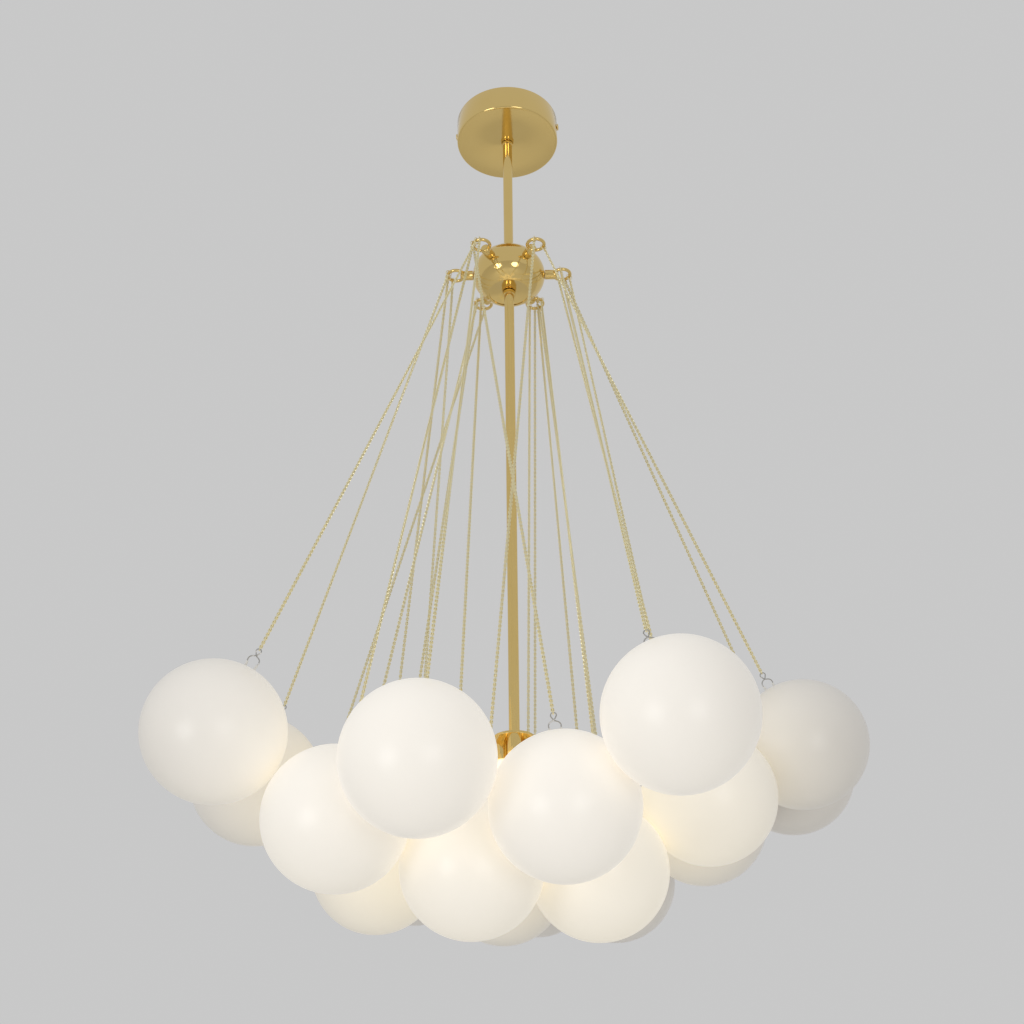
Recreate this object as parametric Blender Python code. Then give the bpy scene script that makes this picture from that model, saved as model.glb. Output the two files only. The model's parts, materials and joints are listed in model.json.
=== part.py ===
"""Cluster chandelier: ceiling canopy, down rod, hook hub, small lamp and a bunch of hanging glass globes.

Lengths are in metres and +Z is up. The origin is the centre of the ceiling bracket's top face, against
the ceiling, and everything hangs below it. The viewer stands on the -Y side.
"""

from math import asin, cos, pi, radians, sin, sqrt, tau

import bmesh
import bpy
from mathutils import Matrix, Vector

# Clearance between pieces that touch, and overrun of the cutters
FIT_GAP = 0.0003
CUT_OVERRUN = 0.002
MERGE_DISTANCE = 0.000001

# Canopy: a cup with its open side against the ceiling
CANOPY_DIAMETER = 0.140
CANOPY_HEIGHT = 0.036
CANOPY_WALL = 0.0015
CANOPY_CORNER_RADIUS = 0.003
CANOPY_STEPS = 30
CANOPY_TURN = radians(-7)

# Ceiling bracket: a bent strip with two ears and a boss for the rod
BRACKET_WIDTH = 0.016
BRACKET_THICKNESS = 0.0025
BRACKET_EAR_DROP = 0.026
BRACKET_EAR_CLEARANCE = 0.001
BRACKET_BOSS_DIAMETER = 0.018
BRACKET_BOSS_LENGTH = 0.012
BRACKET_BOSS_ROOF = 0.003
BRACKET_FIXING_HOLE_DIAMETER = 0.005
BRACKET_FIXING_SPACING = 0.070

# Side screws of the canopy
SCREW_LEVEL = 0.015
SCREW_HEAD_DIAMETER = 0.009
SCREW_HEAD_LENGTH = 0.0022
SCREW_SHANK_DIAMETER = 0.004
SCREW_SHANK_LENGTH = 0.010
SCREW_HOLE_CLEARANCE = 0.0006

# Down rod
ROD_DIAMETER = 0.0127
ROD_BORE_DIAMETER = 0.007
ROD_SPIGOT_DIAMETER = 0.010
ROD_COLLAR_DIAMETER = 0.0156
ROD_COLLAR_HEIGHT = 0.004
ROD_NUT_DIAMETER = 0.0165
ROD_NUT_HEIGHT = 0.005
ROD_STEPS = 12

# Hub: a hollow flattened ball on the rod, cut flat above and below and seated on the rod's nut
HUB_LEVEL_BELOW_CANOPY = 0.228
HUB_RADIUS = 0.0483
HUB_WIDEST_DROP = 0.001
HUB_UPPER_BULGE = 0.038
HUB_LOWER_BULGE = 0.036
HUB_TOP_HEIGHT = 0.025
HUB_DEPTH = 0.030
HUB_WALL = 0.002
HUB_LIP = 0.002
HUB_RECESS = 0.0015
HUB_BELT_HALF_HEIGHT = 0.0035
HUB_STEPS = 24

# Hook rings: level rings on thick studs round the hub, with the stud's end inside the ring
HOOK_PLACES = {
    "right": radians(0),
    "rear_right": radians(60),
    "rear_left": radians(120),
    "left": radians(180),
    "front_left": radians(240),
    "front_right": radians(300),
}
HOOK_REACH = 0.0227
HOOK_RING_RADIUS = 0.011
HOOK_WIRE_DIAMETER = 0.0043
HOOK_STUD_DIAMETER = 0.0125
HOOK_STUD_REACH = 0.005
HOOK_STUD_CHAMFER = 0.0015
HOOK_SPIGOT_DIAMETER = 0.004
HOOK_SPIGOT_LENGTH = 0.007
HOOK_HOLE_CLEARANCE = 0.0006

# Lamp on the rod's lower end: a disc with three downward sockets
LAMP_LEVEL_BELOW_HUB = 0.670
LAMP_DISC_DIAMETER = 0.050
LAMP_DISC_THICKNESS = 0.003
LAMP_BOSS_DIAMETER = 0.018
LAMP_BOSS_LENGTH = 0.021
LAMP_ROD_SEAT = 0.019
LAMP_WIRE_HOLE_DIAMETER = 0.007
SOCKET_COUNT = 3
SOCKET_CIRCLE_RADIUS = 0.0165
SOCKET_DIAMETER = 0.016
SOCKET_LENGTH = 0.022
SOCKET_MOUTH_DIAMETER = 0.012
SOCKET_MOUTH_DEPTH = 0.010
SOCKET_WELD = 0.001
BULB_BASE_DIAMETER = 0.0108
BULB_DIAMETER = 0.014
BULB_LENGTH = 0.042
BULB_SHOULDER = 0.002

# Globes: blown glass with one small hole for the clip
GLOBE_DIAMETER = 0.150
GLOBE_WALL = 0.003
GLOBE_HOLE_DIAMETER = 0.0145
GLOBE_LAND_RADIUS = 0.0135
GLOBE_SPACING_GAP = 0.001
GLOBE_STEPS = 14
GLOBE_OUTER_RINGS = 8
GLOBE_INNER_RINGS = 4

# Hangers: end link, chain and wire clip
LINK_RADIUS = 0.0036
LINK_WIRE_DIAMETER = 0.0012
LINK_DROP = 0.0003
CHAIN_DIAMETER = 0.0028
CHAIN_SEAT = 0.0002
CLIP_WIRE_DIAMETER = 0.0014
CLIP_RING_RADIUS = 0.0029
CLIP_RING_HEIGHT = 0.020
CLIP_CROSSING_HEIGHT = 0.015
CLIP_CROSSING_OFFSET = 0.00085
CLIP_SHOULDER_HEIGHT = 0.0105
CLIP_SHOULDER_HALF_WIDTH = 0.0062
CLIP_LEG_HALF_WIDTH = 0.0054
CLIP_LEG_HEIGHT = 0.003
CLIP_FOOT_REACH = 0.0090
CLIP_RING_POINTS = 5

# Each row holds a globe's hook, its x, y and z in globe spacings from the lamp disc's top centre, how far
# its hole leans from the chain in x and y, its link's place on the hook ring in degrees, and the way that
# the globe can be swung, in degrees, or None where its neighbours trap it
GLOBE_SHARES = (
    ("front_left", -2.03, -1.46, -0.52, 0.15, -0.33, -125, -150),
    ("left", -1.96, -0.12, -0.37, 0.00, 0.00, -150, 164),
    ("front_left", -1.19, -1.43, -1.14, -0.03, 0.00, -160, None),
    ("rear_left", -1.76, 1.76, -0.03, 0.00, 0.00, 80, 160),
    ("left", -1.07, 1.33, -0.62, -0.12, 0.00, 165, None),
    ("front_left", -0.60, -2.23, -1.03, 0.00, 0.00, -100, -116),
    ("front_right", -0.30, -1.02, -1.36, 0.07, -0.12, -100, None),
    ("rear_right", -0.10, 1.07, -0.85, 0.29, -0.04, 130, None),
    ("front_left", 0.32, -1.79, -1.20, 0.01, -0.26, 165, None),
    ("rear_right", 0.59, -0.57, -1.26, 0.10, 0.00, -40, None),
    ("rear_right", 0.83, 1.43, -0.74, 0.00, 0.00, 55, 25),
    ("rear_right", 0.19, 2.16, -0.49, -0.03, 0.00, 90, 46),
    ("right", 1.02, -2.40, -0.83, -0.17, -0.28, -100, -137),
    ("right", 1.41, -0.50, -0.69, -0.17, 0.00, -135, None),
    ("right", 1.48, 0.49, -0.54, -0.13, 0.00, 25, None),
    ("front_right", 2.19, -0.17, -0.15, -0.05, 0.00, 25, -19),
    ("right", 2.28, 0.82, -0.02, -0.05, 0.00, 70, 33),
    ("left", -0.91, 2.28, -0.34, -0.04, 0.00, 115, 61),
    ("rear_left", -0.81, -0.01, -0.05, -0.54, 0.27, -132, None),
    ("rear_left", -1.08, 0.38, -0.93, 0.15, 0.25, -170, None),
    ("rear_left", -0.68, -0.92, -0.44, 0.46, 0.19, -105, None),
    ("rear_right", 0.49, 0.46, -0.32, 0.09, 0.31, -75, None),
)

# Levels and radii that follow from the sizes above
CANOPY_RADIUS = CANOPY_DIAMETER / 2
CANOPY_FLOOR = -CANOPY_HEIGHT
HUB_LEVEL = CANOPY_FLOOR - HUB_LEVEL_BELOW_CANOPY
LAMP_LEVEL = HUB_LEVEL - LAMP_LEVEL_BELOW_HUB
ROD_RADIUS = ROD_DIAMETER / 2
BOSS_FLOOR = -BRACKET_THICKNESS - BRACKET_BOSS_LENGTH
BOSS_ROOF = -BRACKET_THICKNESS - BRACKET_BOSS_ROOF
HUB_FLOOR = -HUB_DEPTH + HUB_RECESS
HOOK_CIRCLE_RADIUS = HUB_RADIUS + HOOK_REACH
GLOBE_RADIUS = GLOBE_DIAMETER / 2
GLOBE_INNER_RADIUS = GLOBE_RADIUS - GLOBE_WALL
GLOBE_HOLE_RADIUS = GLOBE_HOLE_DIAMETER / 2
GLOBE_SPACING = GLOBE_DIAMETER + GLOBE_SPACING_GAP
CLIP_WIRE_RADIUS = CLIP_WIRE_DIAMETER / 2

SMOOTH_ANGLE = radians(35)
UP = Vector((0, 0, 1))
RIGHT = Vector((1, 0, 0))


def clear_scene():
    for obj in list(bpy.data.objects):
        bpy.data.objects.remove(obj, do_unlink=True)


def make_material(name, colour, roughness, metallic):
    material = bpy.data.materials.new(name)
    material.use_nodes = True
    shader = material.node_tree.nodes["Principled BSDF"]
    shader.inputs["Base Color"].default_value = (*colour, 1.0)
    shader.inputs["Roughness"].default_value = roughness
    shader.inputs["Metallic"].default_value = metallic
    material.diffuse_color = (*colour, 1.0)
    return material


def add_piece(name, mesh, material, matrix, parent=None):
    """Place a mesh as one named object, under its parent if it has one."""
    if not mesh.materials:
        mesh.materials.append(material)
        mesh.shade_smooth()
        mesh.set_sharp_from_angle(angle=SMOOTH_ANGLE)
    piece = bpy.data.objects.new(name, mesh)
    bpy.context.collection.objects.link(piece)
    piece.matrix_world = matrix
    if parent:
        piece.parent = parent
        piece.matrix_parent_inverse = parent.matrix_world.inverted()
    return piece


def add_empty(name, matrix):
    empty = bpy.data.objects.new(name, None)
    empty.empty_display_size = HOOK_RING_RADIUS
    bpy.context.collection.objects.link(empty)
    empty.matrix_world = matrix
    return empty


def finished_mesh(name, bm):
    """Merge coincident points, face every side outward and store the mesh."""
    bmesh.ops.remove_doubles(bm, verts=bm.verts, dist=MERGE_DISTANCE)
    bmesh.ops.dissolve_degenerate(bm, edges=bm.edges, dist=MERGE_DISTANCE)
    bmesh.ops.recalc_face_normals(bm, faces=bm.faces)
    mesh = bpy.data.meshes.new(name)
    bm.to_mesh(mesh)
    bm.free()
    return mesh


def turned(name, outline, steps, closed=False):
    """Spin an outline of (radius, height) points round Z.

    A closed outline makes a ring or tube. An open one starts and ends on the axis.
    """
    bm = bmesh.new()
    points = [bm.verts.new((radius, 0, height)) for radius, height in outline]
    edges = [bm.edges.new(pair) for pair in zip(points, points[1:])]
    if closed:
        edges.append(bm.edges.new((points[-1], points[0])))
    bmesh.ops.spin(
        bm,
        geom=points + edges,
        cent=(0, 0, 0),
        axis=UP,
        angle=tau,
        steps=steps,
        use_merge=True,
    )
    return finished_mesh(name, bm)


def rod_between(name, radius, low, high, steps):
    """Plain round bar on Z."""
    return turned(name, [(0, low), (radius, low), (radius, high), (0, high)], steps)


def ring(name, ring_radius, wire_radius, steps, sides):
    outline = [
        (ring_radius + wire_radius * cos(tau * i / sides), wire_radius * sin(tau * i / sides))
        for i in range(sides)
    ]
    return turned(name, outline, steps, closed=True)


def bent_wire(name, points, radius):
    """Round wire through the points, from a bevelled curve with filled ends."""
    curve = bpy.data.curves.new(name, "CURVE")
    curve.dimensions = "3D"
    curve.bevel_depth = radius
    curve.bevel_resolution = 0
    curve.render_resolution_u = 0
    curve.use_fill_caps = True
    spline = curve.splines.new("POLY")
    spline.points.add(len(points) - 1)
    for spline_point, point in zip(spline.points, points):
        spline_point.co = (*point, 1.0)
    guide = bpy.data.objects.new(name, curve)
    bpy.context.collection.objects.link(guide)
    depsgraph = bpy.context.evaluated_depsgraph_get()
    bm = bmesh.new()
    bm.from_mesh(bpy.data.meshes.new_from_object(guide.evaluated_get(depsgraph)))
    bpy.data.objects.remove(guide, do_unlink=True)
    return finished_mesh(name, bm)


def moved(mesh, matrix):
    """Return a moved copy of a mesh."""
    copy = mesh.copy()
    copy.transform(matrix)
    return copy


def combined(operation, name, base, *others):
    """Join the other meshes to the base, or cut them out of it, with exact Booleans."""
    body = bpy.data.objects.new(name, base)
    bpy.context.collection.objects.link(body)
    tools = []
    for other in others:
        tool = bpy.data.objects.new(name + "_tool", other)
        bpy.context.collection.objects.link(tool)
        modifier = body.modifiers.new(operation.title(), "BOOLEAN")
        modifier.operation = operation
        modifier.solver = "EXACT"
        modifier.object = tool
        tools.append(tool)
    depsgraph = bpy.context.evaluated_depsgraph_get()
    bm = bmesh.new()
    bm.from_mesh(bpy.data.meshes.new_from_object(body.evaluated_get(depsgraph)))
    for used in (body, *tools):
        bpy.data.objects.remove(used, do_unlink=True)
    return finished_mesh(name, bm)


def turn_to_side(angle):
    """Matrix that lays the Z axis level, pointing out at the given angle round the rod."""
    return Matrix.Rotation(angle, 4, "Z") @ Matrix.Rotation(pi / 2, 4, "Y")


def arc(centre_radius, centre_height, radius, start, end, count):
    """Points of a circular arc in an outline, both ends included."""
    return [
        (
            centre_radius + radius * cos(start + (end - start) * i / (count - 1)),
            centre_height + radius * sin(start + (end - start) * i / (count - 1)),
        )
        for i in range(count)
    ]


def make_canopy(brass):
    corner = CANOPY_CORNER_RADIUS
    inner_corner = corner - CANOPY_WALL
    hole_radius = ROD_SPIGOT_DIAMETER / 2 + FIT_GAP
    outline = [(hole_radius, CANOPY_FLOOR)]
    outline += arc(CANOPY_RADIUS - corner, CANOPY_FLOOR + corner, corner, -pi / 2, 0, 3)
    outline += [(CANOPY_RADIUS, 0), (CANOPY_RADIUS - CANOPY_WALL, 0)]
    outline += arc(CANOPY_RADIUS - corner, CANOPY_FLOOR + corner, inner_corner, 0, -pi / 2, 3)
    outline += [(hole_radius, CANOPY_FLOOR + CANOPY_WALL)]
    cup = turned("canopy", outline, CANOPY_STEPS, closed=True)
    hole_radius = (SCREW_SHANK_DIAMETER + SCREW_HOLE_CLEARANCE) / 2
    reach = CANOPY_RADIUS + CUT_OVERRUN
    drill = rod_between("drill", hole_radius, -reach, reach, 8)
    drill.transform(Matrix.Translation((0, 0, -SCREW_LEVEL)) @ turn_to_side(0))
    cup = combined("DIFFERENCE", "canopy", cup, drill)
    add_piece("canopy", cup, brass, Matrix.Rotation(CANOPY_TURN, 4, "Z"))


def ear_face():
    """Distance of a bracket ear's outer face from the axis, with its corners clear of the canopy."""
    room = (CANOPY_RADIUS - CANOPY_WALL) * cos(pi / CANOPY_STEPS) - BRACKET_EAR_CLEARANCE / 2
    return sqrt(room**2 - (BRACKET_WIDTH / 2) ** 2)


def make_bracket(steel):
    outer = ear_face()
    inner = outer - BRACKET_THICKNESS
    outline = [
        (-outer, 0), (outer, 0), (outer, -BRACKET_EAR_DROP), (inner, -BRACKET_EAR_DROP),
        (inner, -BRACKET_THICKNESS), (-inner, -BRACKET_THICKNESS), (-inner, -BRACKET_EAR_DROP),
        (-outer, -BRACKET_EAR_DROP),
    ]
    bm = bmesh.new()
    face = bm.faces.new([bm.verts.new((x, -BRACKET_WIDTH / 2, z)) for x, z in outline])
    swept = bmesh.ops.extrude_face_region(bm, geom=[face])["geom"]
    bmesh.ops.translate(
        bm,
        verts=[item for item in swept if isinstance(item, bmesh.types.BMVert)],
        vec=(0, BRACKET_WIDTH, 0),
    )
    strip = finished_mesh("ceiling_bracket", bm)
    boss = rod_between(
        "boss", BRACKET_BOSS_DIAMETER / 2, BOSS_FLOOR, -BRACKET_THICKNESS / 2, ROD_STEPS
    )
    strip = combined("UNION", "ceiling_bracket", strip, boss)
    seat = rod_between(
        "seat", ROD_SPIGOT_DIAMETER / 2 + FIT_GAP, BOSS_FLOOR - CUT_OVERRUN, BOSS_ROOF, ROD_STEPS
    )
    reach = CANOPY_RADIUS
    screw_radius = (SCREW_SHANK_DIAMETER + SCREW_HOLE_CLEARANCE) / 2
    drill = rod_between("drill", screw_radius, inner - CUT_OVERRUN, reach, 8)
    level = Matrix.Translation((0, 0, -SCREW_LEVEL))
    fixing = rod_between(
        "fixing", BRACKET_FIXING_HOLE_DIAMETER / 2, -BRACKET_THICKNESS - CUT_OVERRUN, CUT_OVERRUN, 12
    )
    side = Matrix.Translation((BRACKET_FIXING_SPACING / 2, 0, 0))
    strip = combined(
        "DIFFERENCE",
        "ceiling_bracket",
        strip,
        seat,
        moved(drill, level @ turn_to_side(0)),
        moved(drill, level @ turn_to_side(pi)),
        moved(fixing, side),
        moved(fixing, side.inverted()),
    )
    add_piece("ceiling_bracket", strip, steel, Matrix.Rotation(CANOPY_TURN, 4, "Z"))


def make_canopy_screws(brass):
    head = SCREW_HEAD_DIAMETER / 2
    shank = SCREW_SHANK_DIAMETER / 2
    start = CANOPY_RADIUS + FIT_GAP
    crown = SCREW_HEAD_LENGTH / 2
    outline = [
        (0, start - SCREW_SHANK_LENGTH), (shank, start - SCREW_SHANK_LENGTH), (shank, start),
        (head, start), (head, start + SCREW_HEAD_LENGTH - crown),
        (head - crown, start + SCREW_HEAD_LENGTH), (0, start + SCREW_HEAD_LENGTH),
    ]
    mesh = turned("canopy_screw", outline, 12)
    level = Matrix.Translation((0, 0, -SCREW_LEVEL))
    add_piece("canopy_screw_right", mesh, brass, level @ turn_to_side(CANOPY_TURN))
    add_piece("canopy_screw_left", mesh, brass, level @ turn_to_side(CANOPY_TURN + pi))


def make_rod(brass):
    bore = ROD_BORE_DIAMETER / 2
    nut_top = HUB_LEVEL + HUB_FLOOR - FIT_GAP
    collar_top = CANOPY_FLOOR - FIT_GAP
    bottom = LAMP_LEVEL - LAMP_ROD_SEAT + FIT_GAP
    outline = [
        (bore, bottom),
        (ROD_RADIUS, bottom),
        (ROD_RADIUS, nut_top - ROD_NUT_HEIGHT),
        (ROD_NUT_DIAMETER / 2, nut_top - ROD_NUT_HEIGHT),
        (ROD_NUT_DIAMETER / 2, nut_top),
        (ROD_RADIUS, nut_top),
        (ROD_RADIUS, collar_top - ROD_COLLAR_HEIGHT),
        (ROD_COLLAR_DIAMETER / 2, collar_top - ROD_COLLAR_HEIGHT),
        (ROD_COLLAR_DIAMETER / 2, collar_top),
        (ROD_SPIGOT_DIAMETER / 2, collar_top),
        (ROD_SPIGOT_DIAMETER / 2, BOSS_ROOF - FIT_GAP),
        (bore, BOSS_ROOF - FIT_GAP),
    ]
    add_piece("down_rod", turned("down_rod", outline, ROD_STEPS, closed=True), brass, Matrix())


def hub_radius(height, inset):
    """Radius of the hub's side at a height over its ring level, set in by the inset."""
    bulge = HUB_UPPER_BULGE if height > -HUB_WIDEST_DROP else HUB_LOWER_BULGE
    share = (height + HUB_WIDEST_DROP) / (bulge - inset)
    return (HUB_RADIUS - inset) * sqrt(1 - share**2)


def hub_side(low, high, inset, count):
    """Points down the hub's side: above the belt that seats the hooks, and as many below it."""
    belt = HUB_BELT_HALF_HEIGHT
    above = [high + (belt - high) * i / (count - 1) for i in range(count)]
    below = [(low + belt) * i / (count - 1) - belt for i in range(count)]
    return [(hub_radius(height, inset), height) for height in above + below]


def make_hub(brass):
    bore = ROD_RADIUS + FIT_GAP
    mouth = hub_radius(-HUB_DEPTH, 0) - HUB_LIP
    roof = HUB_TOP_HEIGHT - HUB_WALL
    base = HUB_FLOOR + HUB_WALL
    outline = [(bore, HUB_TOP_HEIGHT)] + hub_side(-HUB_DEPTH, HUB_TOP_HEIGHT, 0, 4)
    outline += [(mouth, -HUB_DEPTH), (mouth, HUB_FLOOR), (bore, HUB_FLOOR), (bore, base)]
    outline += list(reversed(hub_side(base, roof, HUB_WALL, 3))) + [(bore, roof)]
    ball = turned("hub", outline, HUB_STEPS, closed=True)
    hole_radius = (HOOK_SPIGOT_DIAMETER + HOOK_HOLE_CLEARANCE) / 2
    drill = rod_between("drill", hole_radius, mouth, HUB_RADIUS + CUT_OVERRUN, 8)
    drills = [moved(drill, turn_to_side(angle)) for angle in HOOK_PLACES.values()]
    ball = combined("DIFFERENCE", "hub", ball, *drills)
    add_piece("hub", ball, brass, Matrix.Translation((0, 0, HUB_LEVEL)))


def make_hooks(brass):
    spigot = HOOK_SPIGOT_DIAMETER / 2
    side = HOOK_STUD_DIAMETER / 2
    shoulder = HUB_RADIUS + FIT_GAP
    tip = HOOK_CIRCLE_RADIUS - HOOK_RING_RADIUS + HOOK_STUD_REACH
    spigot_end = shoulder - HOOK_SPIGOT_LENGTH
    outline = [
        (0, spigot_end), (spigot, spigot_end), (spigot, shoulder), (side, shoulder),
        (side, tip - HOOK_STUD_CHAMFER), (side - HOOK_STUD_CHAMFER, tip), (0, tip),
    ]
    stud = turned("stud", outline, 10)
    stud.transform(Matrix.Translation((-HOOK_CIRCLE_RADIUS, 0, 0)) @ turn_to_side(0))
    eye = ring("eye", HOOK_RING_RADIUS, HOOK_WIRE_DIAMETER / 2, 12, 5)
    hook = combined("UNION", "hook", eye, stud)
    for place, angle in HOOK_PLACES.items():
        turn = Matrix.Rotation(angle, 4, "Z")
        out = Matrix.Translation((HOOK_CIRCLE_RADIUS, 0, 0))
        add_piece("hook_" + place, hook, brass, Matrix.Translation((0, 0, HUB_LEVEL)) @ turn @ out)


def make_lamp(brass, bulb_glass):
    disc_floor = -LAMP_DISC_THICKNESS
    boss_floor = disc_floor - LAMP_BOSS_LENGTH
    seat = ROD_RADIUS + FIT_GAP
    wire_hole = LAMP_WIRE_HOLE_DIAMETER / 2
    outline = [
        (seat, 0), (LAMP_DISC_DIAMETER / 2, 0), (LAMP_DISC_DIAMETER / 2, disc_floor),
        (LAMP_BOSS_DIAMETER / 2, disc_floor), (LAMP_BOSS_DIAMETER / 2, boss_floor),
        (wire_hole, boss_floor), (wire_hole, -LAMP_ROD_SEAT), (seat, -LAMP_ROD_SEAT),
    ]
    body = turned("lamp_body", outline, 18, closed=True)
    mouth = SOCKET_MOUTH_DIAMETER / 2
    socket_floor = disc_floor - SOCKET_LENGTH
    socket_roof = disc_floor + SOCKET_WELD
    seat_level = socket_floor + SOCKET_MOUTH_DEPTH
    cup = turned(
        "socket",
        [
            (0, socket_roof), (SOCKET_DIAMETER / 2, socket_roof), (SOCKET_DIAMETER / 2, socket_floor),
            (mouth, socket_floor), (mouth, seat_level), (0, seat_level),
        ],
        10,
    )
    places = [
        Matrix.Rotation(tau * i / SOCKET_COUNT - pi / 2, 4, "Z")
        @ Matrix.Translation((SOCKET_CIRCLE_RADIUS, 0, 0))
        for i in range(SOCKET_COUNT)
    ]
    body = combined("UNION", "lamp_body", body, *[moved(cup, place) for place in places])
    level = Matrix.Translation((0, 0, LAMP_LEVEL))
    add_piece("lamp_body", body, brass, level)

    base = BULB_BASE_DIAMETER / 2
    glass = BULB_DIAMETER / 2
    top = seat_level - FIT_GAP
    neck = socket_floor - FIT_GAP
    tip_centre = top - BULB_LENGTH + glass
    outline = [(0, top), (base, top), (base, neck), (glass, neck - BULB_SHOULDER)]
    outline += arc(0, tip_centre, glass, 0, -pi / 2, 4)[:-1] + [(0, tip_centre - glass)]
    bulb = turned("bulb", outline, 10)
    for number, place in enumerate(places, 1):
        add_piece(f"bulb_{number}", bulb, bulb_glass, level @ place)


def globe_mesh():
    """Hollow ball with its hole at +Z. The glass is flat-sided by the hole, where the clip's feet sit."""
    hole = GLOBE_HOLE_RADIUS
    inner_start = asin(GLOBE_LAND_RADIUS / GLOBE_INNER_RADIUS)
    outer_start = asin(hole / GLOBE_RADIUS)
    inner = [
        inner_start + (pi - inner_start) * i / GLOBE_INNER_RINGS for i in range(GLOBE_INNER_RINGS)
    ]
    outer = [
        outer_start + (pi - outer_start) * i / GLOBE_OUTER_RINGS for i in range(GLOBE_OUTER_RINGS)
    ]
    outline = [(0, -GLOBE_INNER_RADIUS)]
    outline += [(GLOBE_INNER_RADIUS * sin(a), GLOBE_INNER_RADIUS * cos(a)) for a in reversed(inner)]
    outline += [(hole, sqrt(GLOBE_INNER_RADIUS**2 - hole**2))]
    outline += [(GLOBE_RADIUS * sin(a), GLOBE_RADIUS * cos(a)) for a in outer]
    outline += [(0, -GLOBE_RADIUS)]
    return turned("globe", outline, GLOBE_STEPS)


def clip_foot_height():
    """Height of the clip's feet over the globe's centre, just under the glass beside the hole."""
    edge = sqrt(GLOBE_INNER_RADIUS**2 - GLOBE_HOLE_RADIUS**2)
    land = sqrt(GLOBE_INNER_RADIUS**2 - GLOBE_LAND_RADIUS**2)
    slope = (edge - land) / (GLOBE_LAND_RADIUS - GLOBE_HOLE_RADIUS)
    reach = CLIP_FOOT_REACH + CLIP_WIRE_RADIUS - GLOBE_HOLE_RADIUS
    return edge - slope * reach - CLIP_WIRE_RADIUS - FIT_GAP


def clip_mesh():
    """Wire clip in its globe's frame: ring on top, legs that cross, bulge and hook under the glass."""
    foot = clip_foot_height()
    half_path = [
        (CLIP_FOOT_REACH, 0, foot),
        (CLIP_LEG_HALF_WIDTH, 0, foot),
        (CLIP_LEG_HALF_WIDTH, 0, GLOBE_RADIUS + CLIP_LEG_HEIGHT),
        (CLIP_SHOULDER_HALF_WIDTH, 0, GLOBE_RADIUS + CLIP_SHOULDER_HEIGHT),
        (0, CLIP_CROSSING_OFFSET, GLOBE_RADIUS + CLIP_CROSSING_HEIGHT),
    ]
    centre = GLOBE_RADIUS + CLIP_RING_HEIGHT
    loop = []
    for i in range(CLIP_RING_POINTS):
        angle = pi + pi / 4 - (tau - pi / 2) * i / (CLIP_RING_POINTS - 1)
        drift = CLIP_CROSSING_OFFSET * (1 - 2 * i / (CLIP_RING_POINTS - 1))
        loop.append(
            (CLIP_RING_RADIUS * cos(angle), drift, centre + CLIP_RING_RADIUS * sin(angle))
        )
    other_half = [(-x, -y, z) for x, y, z in reversed(half_path)]
    return bent_wire("clip", half_path + loop + other_half, CLIP_WIRE_RADIUS)


def frame_at(place, up, side):
    """Matrix with its origin at the place, Z along up and X as near to side as it can be."""
    x = (side - side.dot(up) * up).normalized()
    y = up.cross(x)
    return Matrix.Translation(place) @ Matrix((x, y, up)).transposed().to_4x4()


def make_globes(glass, chain_metal):
    globe = globe_mesh()
    clip = clip_mesh()
    link = ring("link", LINK_RADIUS, LINK_WIRE_DIAMETER / 2, 8, 4)
    link.transform(Matrix.Translation((0, 0, -LINK_DROP)) @ Matrix.Rotation(pi / 2, 4, "X"))
    for number, (hook, x, y, z, lean_x, lean_y, ring_degrees, swing_degrees) in enumerate(GLOBE_SHARES, 1):
        centre = Vector((x, y, z)) * GLOBE_SPACING + Vector((0, 0, LAMP_LEVEL))
        hook_centre = Matrix.Rotation(HOOK_PLACES[hook], 4, "Z") @ Vector((HOOK_CIRCLE_RADIUS, 0, HUB_LEVEL))
        outward = Matrix.Rotation(radians(ring_degrees), 4, "Z") @ RIGHT
        hang_point = hook_centre + outward * HOOK_RING_RADIUS
        hole_way = (hang_point - centre).normalized() + Vector((lean_x, lean_y, 0))
        globe_frame = frame_at(centre, hole_way.normalized(), RIGHT)
        clip_ring = globe_frame @ Vector((0, 0, GLOBE_RADIUS + CLIP_RING_HEIGHT))
        hanger_frame = frame_at(hang_point, (hang_point - clip_ring).normalized(), outward)
        chain_top = -LINK_DROP - LINK_RADIUS + CHAIN_SEAT
        chain_foot = CLIP_RING_RADIUS - (hang_point - clip_ring).length
        chain = rod_between("chain", CHAIN_DIAMETER / 2, chain_foot, chain_top, 5)
        clip_place = hanger_frame.inverted() @ globe_frame
        hanger = combined("UNION", f"hanger_{number:02d}", chain, link.copy(), moved(clip, clip_place))
        parent = None
        if swing_degrees is not None:
            turn = Matrix.Rotation(radians(swing_degrees) - pi / 2, 4, "Z")
            parent = add_empty(f"swing_axis_{number:02d}", Matrix.Translation(hang_point) @ turn)
            bpy.context.view_layer.update()
        add_piece(f"hanger_{number:02d}", hanger, chain_metal, hanger_frame, parent)
        add_piece(f"globe_{number:02d}", globe, glass, globe_frame, parent)


def main():
    clear_scene()
    brass = make_material("polished_brass", (0.72, 0.52, 0.24), 0.18, 1.0)
    chain_metal = make_material("chain_brass", (0.70, 0.58, 0.38), 0.30, 1.0)
    steel = make_material("bracket_steel", (0.62, 0.61, 0.59), 0.40, 1.0)
    frosted_glass = make_material("frosted_glass", (0.93, 0.91, 0.87), 0.55, 0.0)
    bulb_glass = make_material("bulb_glass", (1.0, 0.94, 0.82), 0.35, 0.0)
    make_bracket(steel)
    make_canopy(brass)
    make_canopy_screws(brass)
    make_rod(brass)
    make_hub(brass)
    make_hooks(brass)
    make_lamp(brass, bulb_glass)
    make_globes(frosted_glass, chain_metal)


main()
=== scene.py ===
"""Looks of the cluster chandelier: brass canopy, rod, hub and hooks, fine chains, clips and opal globes.

Lengths are in metres and +Z is up. The viewer stands on the -Y side and looks up at the globes.
"""

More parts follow.
